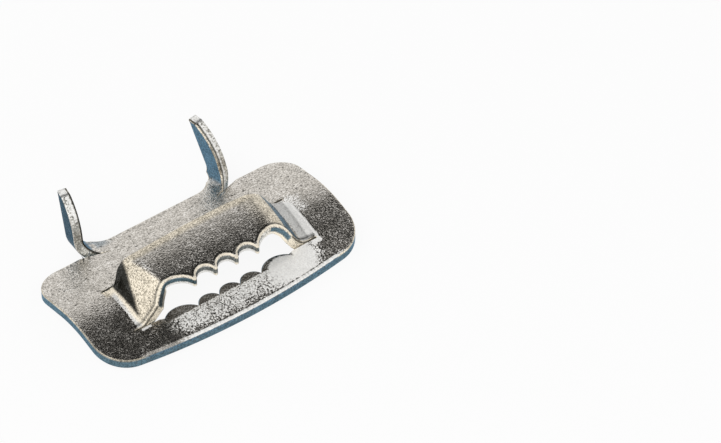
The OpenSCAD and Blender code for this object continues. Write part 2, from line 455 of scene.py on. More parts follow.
@dataclass
class Bridge:
    """Toothed bridge lanced up out of the plate, in millimetres."""

    stock: Stock
    top: float = 5.7
    cut_half: float = 14.95
    back: float = 2.0
    ramp_front: float = 5.8
    kerf: float = 0.2
    pitch: float = 3.42
    tips: float = 6.2
    tip_round: float = 0.3
    bite_deep: float = 1.32
    end_bite: float = 3.6
    end_deep: float = 1.78
    grid: float = 0.03
    bow_x: tuple = (-14.0, -9.0, -6.0, -0.5, 5.5, 8.0, 10.0, 14.0)
    bow: tuple = (0.0, 0.2, 0.38, 0.6, 0.6, 0.4, 0.2, 0.0)

    def __post_init__(self) -> None:
        """Works out the profiles of both ramps."""
        self.left_rows = LEFT_RAMP.profiles(self.top, self.stock.gauge, self.grid)
        self.right_rows = RIGHT_RAMP.profiles(self.top, self.stock.gauge, self.grid)

    @property
    def bites(self) -> list[Scallop]:
        """Bites from the middle one to the right."""
        half, deep = 0.5 * self.pitch - self.tip_round, self.bite_deep - self.tip_round
        radius = (half ** 2 + deep ** 2) / (2 * deep)
        low = -self.tips + self.bite_deep - radius
        end_low = -self.tips + self.end_deep - self.end_bite
        end_half = sqrt(self.end_bite ** 2 - (self.tip_line - end_low) ** 2)
        end_x = 1.5 * self.pitch + self.tip_round + end_half
        middle, second = (Scallop(k * self.pitch, low, radius) for k in (0, 1))
        return [middle, second, Scallop(end_x, end_low, self.end_bite)]

    @property
    def tip_line(self) -> float:
        """Depth at which the bites run into the rounded tips."""
        return self.tip_round - self.tips

    @property
    def bite_half(self) -> float:
        """Distance of the outer ends of the bites from the middle."""
        end = self.bites[2]
        return end.x + sqrt(end.radius ** 2 - (self.ramp_front + end.y) ** 2)

    def back_at(self, x: np.ndarray) -> np.ndarray:
        """Depth of the back edge, which bows out behind the middle."""
        return self.back + np.interp(x, self.bow_x, self.bow)

    def high(self, x: np.ndarray, y: np.ndarray) -> np.ndarray:
        """Distance of the bridge's top face above the underside of the plate.

        Args:
            x: Places along the plate.
            y: Places from front to back.

        Returns:
            The distance at each place.
        """
        left, right = (self._look_up(rows, x, y) for rows in (self.left_rows, self.right_rows))
        return np.where(x < 0, left, right)

    def _look_up(self, profiles: np.ndarray, x: np.ndarray, y: np.ndarray) -> np.ndarray:
        """Heights at places, read between the stations of one ramp."""
        rows, columns = profiles.shape
        share = climb(y, -self.ramp_front, self.back) * (rows - 1)
        along = np.clip(np.abs(x) / self.grid, 0.0, columns - 1.001)
        r = np.minimum(share.astype(int), rows - 2)
        c = along.astype(int)
        u, v = share - r, along - c
        front = profiles[r, c] * (1 - v) + profiles[r, c + 1] * v
        behind = profiles[r + 1, c] * (1 - v) + profiles[r + 1, c + 1] * v
        return front * (1 - u) + behind * u

    def edge_gap(self, x: np.ndarray, y: np.ndarray) -> np.ndarray:
        """Distance of places on the bridge from its toothed front edge.

        Args:
            x: Places along the plate.
            y: Places from front to back.

        Returns:
            The distance at each place.
        """
        gap = np.where(np.abs(x) > self.bites[2].x, y + self.ramp_front, np.inf)
        for bite in self.bites:
            gap = np.minimum(gap, bite.gap(np.abs(x), y))
        return gap

    def tooth_runs(self) -> list[list[Point]]:
        """Right half of the toothed edge, from the ramp to the middle: bites and tips in turn."""
        runs = []
        for k in (2, 1, 0):
            bite = self.bites[k]
            turn = asin((self.tip_line - bite.y) / bite.radius)
            first = turn if k < 2 else asin((-self.ramp_front - bite.y) / bite.radius)
            last = pi - turn if k else pi / 2
            runs.append(arc(bite.centre, bite.radius, first, last, SPACING.tooth))
            if k:
                tip = ((k - 0.5) * self.pitch, self.tip_line)
                runs.append(arc(tip, self.tip_round, 0.0, -pi, SPACING.tooth))
        return runs


@dataclass
class Ear:
    """Ear folded up from the back edge, in millimetres; drawn as the right one."""

    stock: Stock
    high: float
    y: float = 11.54
    gap: float = 22.6
    toe: float = radians(8.0)
    fold_turn: float = radians(94.0)
    bend: float = 1.4
    wide: float = 2.8
    tip: float = 1.25
    low: float = 1.9
    tab_front: float = 1.9
    tab_back: float = 1.5
    lean: float = 0.2
    tip_rise: float = 0.25
    back_trim: float = 0.1
    back_foot: float = 0.5

    @property
    def fold(self) -> float:
        """Length of sheet in the bend at the root."""
        return self.bend * self.fold_turn

    def unfold(self, up: float) -> float:
        """Length of sheet from the bend line to a height on the inner face."""
        crown = self.bend * (1.0 - cos(self.fold_turn))
        if up >= crown:
            return self.fold + (up - crown) / sin(self.fold_turn)
        return self.bend * acos(1.0 - up / self.bend)

    def pattern(self, along: float, up: float) -> Point:
        """Place on the flat pattern.

        Args:
            along: Distance along the bend line, towards the back.
            up: Height on the inner face.

        Returns:
            The place in plan.
        """
        out = self.unfold(max(up, 0.0)) - self.bend
        dx = out * cos(self.toe) - along * sin(self.toe)
        dy = out * sin(self.toe) + along * cos(self.toe)
        return (self.gap / 2 + dx, self.y + dy * cos(self.stock.roof))

    def back_edge(self, up: float) -> float:
        """Place of the back edge at a height."""
        return self.wide - self.back_trim + self.lean * up

    @property
    def nose(self) -> float:
        """Place of the tip's front corner along the bend line."""
        return self.back_edge(self.high + self.tip_rise) - self.tip

    def edge(self) -> list[Point]:
        """Edge of the ear on the pattern, from the front root over the tip to the back root."""
        top = (self.back_edge(self.high + self.tip_rise), self.high + self.tip_rise)
        nose = self.nose
        sweep = (nose * nose + (self.high - self.low) ** 2) / (2 * nose)
        end = pi - asin((self.high - self.low) / sweep)
        foot = (self.back_edge(self.back_foot), self.back_foot)
        side = arc((-self.tab_front, self.low), self.tab_front, -pi / 2, 0.0, SPACING.fillet)
        side += arc((sweep, self.low), sweep, pi, end, SPACING.slit)
        side += straight((nose, self.high), top, SPACING.tip)
        side += straight(top, foot, SPACING.blade)
        side += straight(foot, (self.tab_back, 0.0), SPACING.fillet)
        return [self.pattern(b, n) for b, n in side]

    def local(self, x: np.ndarray, y: np.ndarray) -> tuple:
        """Length of sheet beyond the bend line and place along it, from places on the pattern."""
        dx = x - self.gap / 2
        dy = (y - self.y) / cos(self.stock.roof)
        out = dx * cos(self.toe) + dy * sin(self.toe) + self.bend
        return out, -dx * sin(self.toe) + dy * cos(self.toe)

    def fold_up(self, x: np.ndarray, y: np.ndarray) -> tuple:
        """Folds places on the pattern up into the ear.

        Args:
            x: Places along the plate.
            y: Places from front to back.

        Returns:
            The points of the inner face and its normals.
        """
        out, along = self.local(x, y)
        turn = np.clip(out / self.bend, 0.0, self.fold_turn)
        blade = np.maximum(out - self.fold, 0.0)
        px = self.bend * (np.sin(turn) - 1.0) + np.minimum(out, 0.0) + blade * cos(self.fold_turn)
        pz = self.bend * (1 - np.cos(turn)) + blade * sin(self.fold_turn)
        root = float(self.stock.lift(self.stock.gauge, np.array(self.y)))
        spot = self._place(px, along, pz) + np.array([self.gap / 2, self.y, root])
        return spot, self._place(-np.sin(turn), np.zeros_like(turn), np.cos(turn))

    def _place(self, px: np.ndarray, py: np.ndarray, pz: np.ndarray) -> np.ndarray:
        """Turns vectors of the ear's own frame by its toe-in and the slope of the plate."""
        x = px * cos(self.toe) - py * sin(self.toe)
        y = px * sin(self.toe) + py * cos(self.toe)
        fall, run = sin(self.stock.roof), cos(self.stock.roof)
        return np.stack([x, y * run + pz * fall, -y * fall + pz * run], axis=1)


@dataclass(frozen=True)
class Rounding:
    """Radii of the rolled top edges, in millimetres, and the share of the metal they may take."""

    outline: float = 0.16
    slit: float = 0.05
    scallop: float = 0.14
    bite: float = 0.36
    tip: float = 0.14
    ear: float = 0.2
    bridge_back: float = 0.18
    burr: float = 0.08
    room_share: float = 0.38


@dataclass
class Pressing:
    """Whole buckle: flat pattern, forming and places to fill it with, in millimetres."""

    stock: Stock
    plate: Plate
    bridge: Bridge
    right_ear: Ear
    left_ear: Ear
    rounding: Rounding = Rounding()
    sweep: float = 3.05
    slit_mouth: float = 4.25
    slit_in: float = 1.15
    slit_deep: float = 2.6
    tab_trim: float = 0.1
    lobe_span: float = 0.9
    ear_front: float = 1.2
    ear_clear: float = 0.3
    ear_root: float = 2.0
    probe: float = 0.02

    @property
    def ears(self) -> tuple:
        """Zone, ear and side of both ears."""
        return ((Zone.RIGHT_EAR, self.right_ear, 1.0), (Zone.LEFT_EAR, self.left_ear, -1.0))

    def outer_edge(self) -> CutEdge:
        """Outline of the flat pattern with both ears, anticlockwise."""
        cut = CutEdge()
        for points, zone, rounding in self._outer_half(self.right_ear, Zone.RIGHT_EAR):
            cut.add(points, zone, rounding)
        for points, zone, rounding in reversed(self._outer_half(self.left_ear, Zone.LEFT_EAR)):
            cut.add(mirrored(points), zone, rounding)
        cut.close()
        return cut

    def _outer_half(self, ear: Ear, zone: Zone) -> list:
        """Right half of the outline, from the middle of the front to the middle of the back.

        Args:
            ear: Ear on this half.
            zone: Zone of that ear.

        Returns:
            Stretches of edge with their zones and roundings.
        """
        plate, rounding = self.plate, self.rounding
        root = ear.gap / 2 - ear.bend * cos(ear.toe)
        slit = (root - self.slit_in, plate.back - self.slit_deep)
        mouth = (slit[0] + self.slit_mouth, plate.shoulder)
        front = plate.front_edge()
        front += straight(front[-1], mouth, SPACING.run)
        blade = ear.edge()
        tab_x, tab_y = blade[-1][0] - self.tab_trim, blade[-1][1]
        centre_y = plate.back + self.sweep
        centre_x = tab_x - sqrt(self.sweep ** 2 - (centre_y - tab_y) ** 2)
        first = atan2(tab_y - centre_y, tab_x - centre_x)
        swept = arc((centre_x, centre_y), self.sweep, first, -pi / 2, SPACING.sweep)
        swept += straight(swept[-1], (0.0, plate.back), SPACING.run)
        return [
            (front, Zone.PLATE, rounding.outline),
            (straight(mouth, slit, SPACING.slit), Zone.PLATE, rounding.slit),
            (straight(slit, blade[0], SPACING.corner)[:-1], Zone.PLATE, rounding.slit),
            (blade, zone, rounding.ear),
            (swept, Zone.PLATE, rounding.outline),
        ]

    def front_opening(self) -> CutEdge:
        """Slot between the rail and the teeth with the cuts beside the ramps, clockwise."""
        bridge, rounding = self.bridge, self.rounding
        low = -bridge.ramp_front - bridge.kerf
        rail = self.plate.rail_edge(low)
        corner, end = (bridge.cut_half, low), (bridge.cut_half, -bridge.ramp_front)
        side = straight(rail[-1], corner, SPACING.blade) + straight(corner, end, SPACING.kerf)
        teeth = bridge.tooth_runs()
        runs = [(rail, Zone.PLATE, rounding.scallop), (side, Zone.PLATE, rounding.slit)]
        runs.append((straight(end, teeth[0][0], SPACING.sweep), Zone.BRIDGE, rounding.ear))
        for k, run in enumerate(teeth):
            runs.append((run, Zone.BRIDGE, rounding.tip if k % 2 else rounding.bite))
        cut = CutEdge()
        for points, zone, radius in runs:
            cut.add(points, zone, radius)
        for points, zone, radius in reversed(runs):
            cut.add(mirrored(points), zone, radius)
        cut.close()
        cut.turn_round()
        return cut

    def back_cut(self) -> CutEdge:
        """Cut along the back of the bridge, clockwise."""
        half, back, kerf = self.bridge.cut_half, self.bridge.back, self.bridge.kerf
        slit = self.rounding.slit
        line = straight((half, back), (-half, back), SPACING.sweep)
        bow = [(x, float(self.bridge.back_at(x))) for x, _ in line]
        cut = CutEdge()
        cut.add([(x, y + kerf) for x, y in reversed(bow)], Zone.PLATE, slit)
        cut.add(straight((half, back + kerf), (half, back), SPACING.kerf), Zone.PLATE, slit)
        cut.add(bow, Zone.BRIDGE, self.rounding.bridge_back)
        cut.add(straight((-half, back), (-half, back + kerf), SPACING.kerf), Zone.PLATE, slit)
        cut.close()
        return cut

    def form(self, xy: np.ndarray, zones: np.ndarray) -> tuple:
        """Forms places on the pattern into points of the top face.

        Args:
            xy: Places on the flat pattern.
            zones: Zone values of the places.

        Returns:
            The formed points, their unit normals, and the ways down through the sheet, which follow
            the upright cuts.
        """
        x, y, step = xy[:, 0], xy[:, 1], self.probe
        raised = zones == Zone.BRIDGE.value

        def face(px: np.ndarray, py: np.ndarray) -> np.ndarray:
            """Height of the top face."""
            high = np.where(raised, self.bridge.high(px, py), self.stock.gauge)
            return self.stock.lift(high, py)

        spots = np.stack([x, y, face(x, y)], axis=1)
        dx = (face(x + step, y) - face(x - step, y)) / (2 * step)
        dy = (face(x, y + step) - face(x, y - step)) / (2 * step)
        normals = np.stack([-dx, -dy, np.ones_like(x)], axis=1)
        normals /= np.linalg.norm(normals, axis=1)[:, None]
        down = normals * np.array([1.0, 0.0, 1.0])
        down /= np.sum(down * normals, axis=1)[:, None]
        for zone, ear, side in self.ears:
            mine = zones == zone.value
            if mine.any():
                flip = np.array([side, 1.0, 1.0])
                spot, normal = ear.fold_up(side * x[mine], y[mine])
                spots[mine] = spot * flip
                normals[mine] = normal * flip
                down[mine] = normals[mine]
        return spots, normals, down

    def sink(self, xy: np.ndarray, zones: np.ndarray) -> np.ndarray:
        """Depth struck off the top face at places on the pattern."""
        struck = self.plate.sink(xy[:, 0], xy[:, 1])
        return np.where(zones == Zone.PLATE.value, struck, 0.0)

    def zone_at(self, xy: np.ndarray) -> np.ndarray:
        """Zones of places inside the metal of the pattern."""
        bridge, shoulder = self.bridge, self.plate.shoulder
        x, y = np.abs(xy[:, 0]), xy[:, 1]
        split = np.full(len(xy), -bridge.ramp_front - 0.5 * bridge.kerf)
        for lobe, bite in zip(self.plate.lobes, bridge.bites):
            rail = lobe.crest(x)
            over = np.abs(x - lobe.x) < self.lobe_span * lobe.radius
            over &= rail > -bridge.ramp_front - bridge.kerf
            split = np.where(over, 0.5 * (rail + bite.crest(x)), split)
        behind = bridge.back_at(xy[:, 0]) + 0.5 * bridge.kerf
        zones = np.full(len(xy), Zone.PLATE.value)
        zones[(x < bridge.cut_half) & (y > split) & (y < behind)] = Zone.BRIDGE.value
        for zone, ear, side in self.ears:
            out, along = ear.local(x, y)
            folded = (out > 0.0) & (along > -ear.tab_front) & (y > shoulder - self.ear_front)
            folded &= (y > shoulder + self.ear_clear) | (out < self.ear_root)
            zones[folded & (side * xy[:, 0] > 0)] = zone.value
        return zones

    def filling(self) -> np.ndarray:
        """Places between the edges, closer together where the sheet is bent."""
        places = self._plate_places() + self._bridge_places()
        for _, ear, side in self.ears:
            places += self._ear_places(ear, side)
        return np.array(places)

    def _plate_places(self) -> list[Point]:
        """Places on the plate: an open grid, the scallops, the cuts' ends and the bevel's seam."""
        plate, wide = self.plate, 0.8
        bent = np.arange(-4.0, 4.1, 0.45)
        rows = np.concatenate([np.arange(-10.6, -4.2, wide), bent, np.arange(4.6, 12.8, wide)])
        places = lattice(np.arange(-20.8, 20.9, wide), rows)
        turned = np.arange(-plate.valley - plate.turn_lead, -5.2, 0.18)
        places += lattice(np.arange(-10.6, 10.7, 0.25), turned)
        for side in (-1, 1):
            places += lattice(side * np.arange(12.0, 16.0, 0.2), (-6.9, -6.55, -6.3))
        for inset in (0.0, 0.07, 0.14, 0.25):
            ring = plate.bulge - plate.bevel_wide - inset
            for x in np.arange(-15.6, 15.7, 0.2):
                places.append((x, plate.bulge_centre[1] - sqrt(ring ** 2 - x * x)))
        return places

    def _bridge_places(self) -> list[Point]:
        """Places on the bridge: both ramps and rows along the bites."""
        places = lattice(np.arange(7.8, 15.7, 0.14), np.arange(-5.7, 2.4, 0.4))
        for inset in (0.52, 0.68, 0.9):
            for bite in self.bridge.bites:
                row = arc(bite.centre, bite.radius + inset, 0.2, pi - 0.2, SPACING.tooth)
                row = [(x, y) for x, y in row if x > 0.05]
                places += [spot for spot in row if self.bridge.edge_gap(*spot) > inset - 0.02]
        return places + mirrored(places)

    def _ear_places(self, ear: Ear, side: float) -> list[Point]:
        """Places on one ear, closest together in its bend.

        Args:
            ear: Ear to fill.
            side: 1 for the right one, -1 for the left one.

        Returns:
            The places on the flat pattern.
        """
        heights = np.concatenate([np.arange(0.0, 1.4, 0.18), np.arange(1.5, 9.0, 0.55)])
        row = [ear.pattern(along, up) for up in heights for along in np.arange(-1.8, 5.0, 0.45)]
        return [(side * x, y) for x, y in row]


def inside(places: np.ndarray, loops: list[np.ndarray]) -> np.ndarray:
    """Tells which places lie in the metal, by counting crossings of its edges.

    Args:
        places: Places to test.
        loops: Closed outlines as arrays.

    Returns:
        True for places in the metal.
    """
    odd = np.zeros(len(places), bool)
    for loop in loops:
        for a, b in zip(loop, np.roll(loop, -1, axis=0)):
            spans = (a[1] > places[:, 1]) != (b[1] > places[:, 1])
            run = (b[0] - a[0]) / (b[1] - a[1] + TINY)
            odd ^= spans & (places[:, 0] < a[0] + run * (places[:, 1] - a[1]))
    return odd


def room(points: np.ndarray, inward: np.ndarray, loops: list[np.ndarray], nearest: float = 0.02,
         widest: float = 10.0) -> np.ndarray:
    """Width of metal in front of each edge point.

    Args:
        points: Edge points.
        inward: Directions into the metal.
        loops: All closed outlines as arrays.
        nearest: Distance up to which an edge counts as the point's own.
        widest: Longest distance to tell.

    Returns:
        The distance to the next edge along the inward direction.
    """
    far = np.full(len(points), widest)
    for loop in loops:
        for a, b in zip(loop, np.roll(loop, -1, axis=0)):
            d, rel = b - a, a - points
            cross = inward[:, 0] * d[1] - inward[:, 1] * d[0]
            cross = np.where(np.abs(cross) < PARALLEL, PARALLEL, cross)
            ahead = (rel[:, 0] * d[1] - rel[:, 1] * d[0]) / cross
            share = (rel[:, 0] * inward[:, 1] - rel[:, 1] * inward[:, 0]) / cross
            met = (share >= 0) & (share <= 1) & (ahead > nearest)
            far = np.where(met, np.minimum(far, ahead), far)
    return far


@dataclass
class Rim:
    """All cut edges of the pattern together, with their rolled top edges."""

    cuts: list[CutEdge]
    room_share: float

    def __post_init__(self) -> None:
        """Joins the cuts and fits the rolled edges to the metal behind them."""
        loops = [cut.coords() for cut in self.cuts]
        self.points = np.concatenate(loops)
        self.inward = np.concatenate([cut.inward() for cut in self.cuts])
        self.zones = np.concatenate([[zone.value for zone in cut.zones] for cut in self.cuts])
        rounds = np.concatenate([cut.soft_rounds() for cut in self.cuts])
        space = room(self.points, self.inward, loops)
        self.rounds = np.minimum(rounds, self.room_share * space)
        ends = np.cumsum([len(loop) for loop in loops])
        self.spans = list(zip(ends - [len(loop) for loop in loops], ends))
        self.follow = np.concatenate([np.roll(np.arange(s, e), -1) for s, e in self.spans])

    def __len__(self) -> int:
        """Number of edge points."""
        return len(self.points)

    def moved_in(self, share: float) -> np.ndarray:
        """Edge points moved into the metal by a share of their rounding."""
        return self.points + self.inward * (self.rounds * share)[:, None]


@dataclass(frozen=True)
class FootStrip:
    """Painted light strip beyond the right ramp, with a painted highlight line before it and a
    painted dark border, in millimetres.

    Here and in the other marks, a span holds its two ends and the width over which it fades, and a
    rise holds its two ends.
    """

    start: float = 14.52
    lean: float = 0.093
    set_in: tuple = (0.0, 0.15)
    run_out: tuple = (15.35, 15.45)
    run: tuple = (-5.3, 1.5, 0.25)
    skew: float = 1.5
    skew_from: float = 14.67
    line: tuple = (-0.06, 0.06, 0.1)
    border: tuple = (15.4, 15.46, 0.08)
    border_run: tuple = (-5.2, 0.2, 0.4)

    def beyond(self, x: np.ndarray, y: np.ndarray) -> np.ndarray:
        """Distance of places beyond the slanting line where the strip starts."""
        return x - self.start - self.lean * y

    def shares(self, x: np.ndarray, y: np.ndarray) -> tuple:
        """Shares of the painted highlight line, the painted light on the face and the painted dark
        border at places.

        Args:
            x: Places along the plate.
            y: Places from front to back.

        Returns:
            The three shares.
        """
        beyond = self.beyond(x, y)
        seen = band(y + self.skew * np.maximum(x - self.skew_from, 0.0), *self.run)
        face = climb(beyond, *self.set_in) * (1.0 - climb(x, *self.run_out)) * seen
        border = band(x, *self.border) * band(y, *self.border_run)
        return band(beyond, *self.line) * seen, face, border


@dataclass(frozen=True)
class BridgePaintedLightAndWear:
    """Painted light on the bridge: painted shade in the left ramp's hollow, painted reflections on
    bends, painted highlights on teeth and feet.
    """

    bridge: Bridge
    strip: FootStrip
    hollow_shade: tuple = (11.5, 13.3, 0.18)
    hollow_lean: float = 0.29
    hollow_run: tuple = (-4.4, 9.0, 0.5)
    foot: tuple = (12.3, 12.8)
    foot_end: tuple = (0.0, 0.12)
    upright: tuple = (0.70, 0.78)
    bent: tuple = (0.12, 0.42)
    tilted: tuple = (0.06, 0.14)
    back_warm: tuple = (-1.6, -1.0)
    back_rub_highlight: tuple = (-1.5, -1.0)
    left_rub_highlight: tuple = (9.6, 13.2, 0.6)
    right_warm: tuple = (6.5, 10.0)
    right_cold: tuple = (12.1, 12.6)
    right_rub_highlight: tuple = (7.0, 10.5)
    right_rub_highlight_end: tuple = (12.2, 12.7)
    rim: tuple = (0.4, 0.56, 0.14)
    tip: tuple = (-1.0, 0.45, 0.2)
    tip_shift: float = 0.1
    front: float = -5.0
    front_end: float = 11.5
    left_foot: tuple = (13.45, 14.3, 0.12)
    left_foot_run: tuple = (-9.0, 1.6, 0.2)

    def shares(self, x: np.ndarray, y: np.ndarray, steep: np.ndarray) -> Shares:
        """Shares of painted light and wear at places of the bridge.

        Args:
            x: Places along the plate.
            y: Places from front to back.
            steep: Sideways lean of the face.

        Returns:
            Shares by name.
        """
        # Painted shade on the steep lower facet of the left ramp.
        near, far, fade = self.hollow_shade
        near = near + self.hollow_lean * (self.bridge.back - y)
        hollow_shade = band(-x, near, far, fade) * band(y, *self.hollow_run)
        behind = y - self.bridge.back_at(x)
        back = climb(behind, *self.back_warm)
        line, strip, _ = self.strip.shares(x, y)
        # Painted shade and painted highlights at the right ramp's foot.
        foot = climb(x, *self.foot) * climb(-self.strip.beyond(x, y), *self.foot_end)
        rub_and_highlight = self._rub_and_highlight(x, y, behind, 1.0 - hollow_shade)
        # Painted warm reflection of the backdrop on the bends, the back edge and the right
        # shoulder.
        warm = np.max([climb(steep, *self.bent), back, climb(x, *self.right_warm)], axis=0)
        warm *= 1.0 - climb(x, *self.right_cold)
        teeth = (y < self.front) & (x < self.front_end)
        # Painted shade along the teeth and, faintly, on the flat top.
        rim = band(self.bridge.edge_gap(x, y), *self.rim)
        top = (1.0 - climb(steep, *self.tilted)) * (1.0 - back)
        # Painted highlight band at the left ramp's foot.
        left_foot = band(-x, *self.left_foot) * band(y, *self.left_foot_run)
        # Painted blue reflection on the steep face of the right ramp.
        return {
            "cool": np.where(x < 0, 0.0, climb(steep, *self.upright)),
            "warm": np.maximum(warm, np.where(teeth, rub_and_highlight, 0.0)),
            "soot": hollow_shade + 0.75 * rim + 0.1 * top + 0.38 * foot,
            "matt": np.max([rub_and_highlight, 0.7 * left_foot, 0.72 * foot, line, 0.88 * strip], axis=0),
        }

    def _rub_and_highlight(self, x: np.ndarray, y: np.ndarray, behind: np.ndarray,
                open_face: np.ndarray) -> np.ndarray:
        """Share of painted highlight, on matt rubbed steel, on the shoulders, the back edge and the
        tips of the teeth.

        Args:
            x: Places along the plate.
            y: Places from front to back.
            behind: Distance behind the back edge.
            open_face: Share outside the painted shade of the hollow.

        Returns:
            The share at each place.
        """
        # Painted highlights on matt rubbed steel at the shoulders, the back edge and the tooth
        # tips.
        left = band(-x, *self.left_rub_highlight) * open_face
        right = climb(x, *self.right_rub_highlight) * (1.0 - climb(x, *self.right_rub_highlight_end))
        rub_and_highlight = np.max([0.38 * left, 0.36 * climb(behind, *self.back_rub_highlight), 0.38 * right], axis=0)
        for cusp in (-1.5, -0.5, 0.5, 1.5):
            middle = cusp * self.bridge.pitch + self.tip_shift
            tip = np.hypot(x - middle, y + self.bridge.tips)
            rub_and_highlight = np.maximum(rub_and_highlight, 0.85 * band(tip, *self.tip))
        return rub_and_highlight


@dataclass(frozen=True)
class PlatePaintedLightAndWear:
    """Painted light on the plate: highlights on the speckled rail, bevel and two bright spots,
    shade in the scallops, seam and corner.
    """

    plate: Plate
    strip: FootStrip
    rail_back: float = -5.0
    lobe_half: float = 10.6
    lobe_start: tuple = (-0.05, 0.1)
    lobe_edge: tuple = (-0.12, 0.12)
    lobe_dark: float = 1.1
    lobe_taper: float = 0.17
    speckle: tuple = (-12.5, -8.5)
    speckle_deep: tuple = (0.6, 1.9)
    pale: tuple = (4.0, 10.0)
    pale_end: tuple = (12.0, 16.0)
    bevel_from: float = -8.5
    seam: tuple = (0.04, 0.1, 0.06)
    seam_waves: tuple = (7.3, 11.9)
    left_spot_highlight: tuple = (12.5, 14.0, 0.25)
    left_spot_highlight_run: tuple = (-6.35, -5.9, 0.15)
    right_spot_highlight: tuple = (13.9, 15.3, 0.25)
    right_spot_highlight_run: tuple = (-6.7, -5.9, 0.2)
    right_glow: tuple = (14.9, 16.5, 2.0)
    right_glow_run: tuple = (-1.0, 1.5, 2.0)
    corner: tuple = (-2.0, 8.0)
    corner_run: tuple = (0.5, 4.5)
    corner_rail: tuple = (-12.0, -8.0)
    root: tuple = (-10.8, -8.1, 0.25)
    root_line: tuple = (-8.57, 10.49)
    root_slope: float = -0.31
    root_edge: tuple = (-0.1, 0.1)

    def shares(self, x: np.ndarray, y: np.ndarray) -> Shares:
        """Shares of painted light and wear at places of the plate.

        Args:
            x: Places along the plate.
            y: Places from front to back.

        Returns:
            Shares by name.
        """
        rail = (y < self.rail_back) * 1.0
        deep = self.plate.front_gap(x, y)
        lobes = self._lobes(x, y) * rail
        seam = self._seam(x, deep) * rail
        # Painted highlight band on the front bevel.
        bevel = band(deep, -1.0, self.plate.bevel_wide, 0.1) * rail
        bevel *= band(x, self.bevel_from, self.plate.bevel_half, 3.0)
        # Painted highlights in the rail's grain, brightening to the right.
        grain = climb(x, *self.speckle) * (0.36 + 0.22 * climb(deep, *self.speckle_deep))
        grain = (grain + 0.43 * climb(x, *self.pale)) * (1.0 - climb(x, *self.pale_end))
        line, strip, border = self.strip.shares(x, y)
        # Two painted bright spots at the ramps' front feet.
        left = band(-x, *self.left_spot_highlight) * band(y, *self.left_spot_highlight_run)
        right = band(x, *self.right_spot_highlight) * band(y, *self.right_spot_highlight_run)
        spot_highlights = 0.9 * np.maximum(left, right)
        # Painted light on the plate beyond the right ramp.
        glow = band(x, *self.right_glow) * band(y, *self.right_glow_run)
        speckle = rail * np.where(lobes > 0.5, 0.3, grain)
        matt = np.max([speckle, 0.5 * glow, 0.85 * bevel, line, 0.88 * strip, spot_highlights], axis=0)
        # Painted dark reflection towards the front-left corner.
        corner = climb(-x, *self.corner) * climb(-y, *self.corner_run)
        corner *= (1.0 - 0.7 * spot_highlights) * (1.0 - rail * climb(x, *self.corner_rail))
        line_x, line_y = self.root_line
        behind = y - line_y - self.root_slope * (x - line_x)
        # Painted blue reflection near the left ear's root; painted shade on the scallops, the
        # corner, the seam and the strip's border.
        return {
            "cool": 0.5 * band(x, *self.root) * climb(behind, *self.root_edge),
            "soot": 0.7 * lobes + 0.4 * corner + 0.9 * seam + 0.5 * border,
            "matt": matt * (1.0 - 0.75 * seam),
        }

    def _lobes(self, x: np.ndarray, y: np.ndarray) -> np.ndarray:
        """Share of painted shade on the scallops, of which the right one is shaded along its edge
        only.
        """
        plate = self.plate
        lobes = climb(y + plate.valley, *self.lobe_start) * (np.abs(x) < self.lobe_half)
        cusp = 1.5 * plate.pitch
        edge = self.lobe_dark - self.lobe_taper * (x - cusp) + plate.lobes[2].gap(x, y)
        return lobes * np.where(x > cusp, climb(edge, *self.lobe_edge), 1.0)

    def _seam(self, x: np.ndarray, deep: np.ndarray) -> np.ndarray:
        """Share of the broken line of painted shade along the bevel."""
        near, far, fade = self.seam
        line = band(deep, self.plate.bevel_wide + near, self.plate.bevel_wide + far, fade)
        line *= band(x, self.bevel_from, self.plate.bevel_half, 1.0)
        slow, quick = self.seam_waves
        return line * (0.3 + 0.7 * climb(np.sin(slow * x) + np.sin(quick * x + 1.0), -0.6, 0.0))


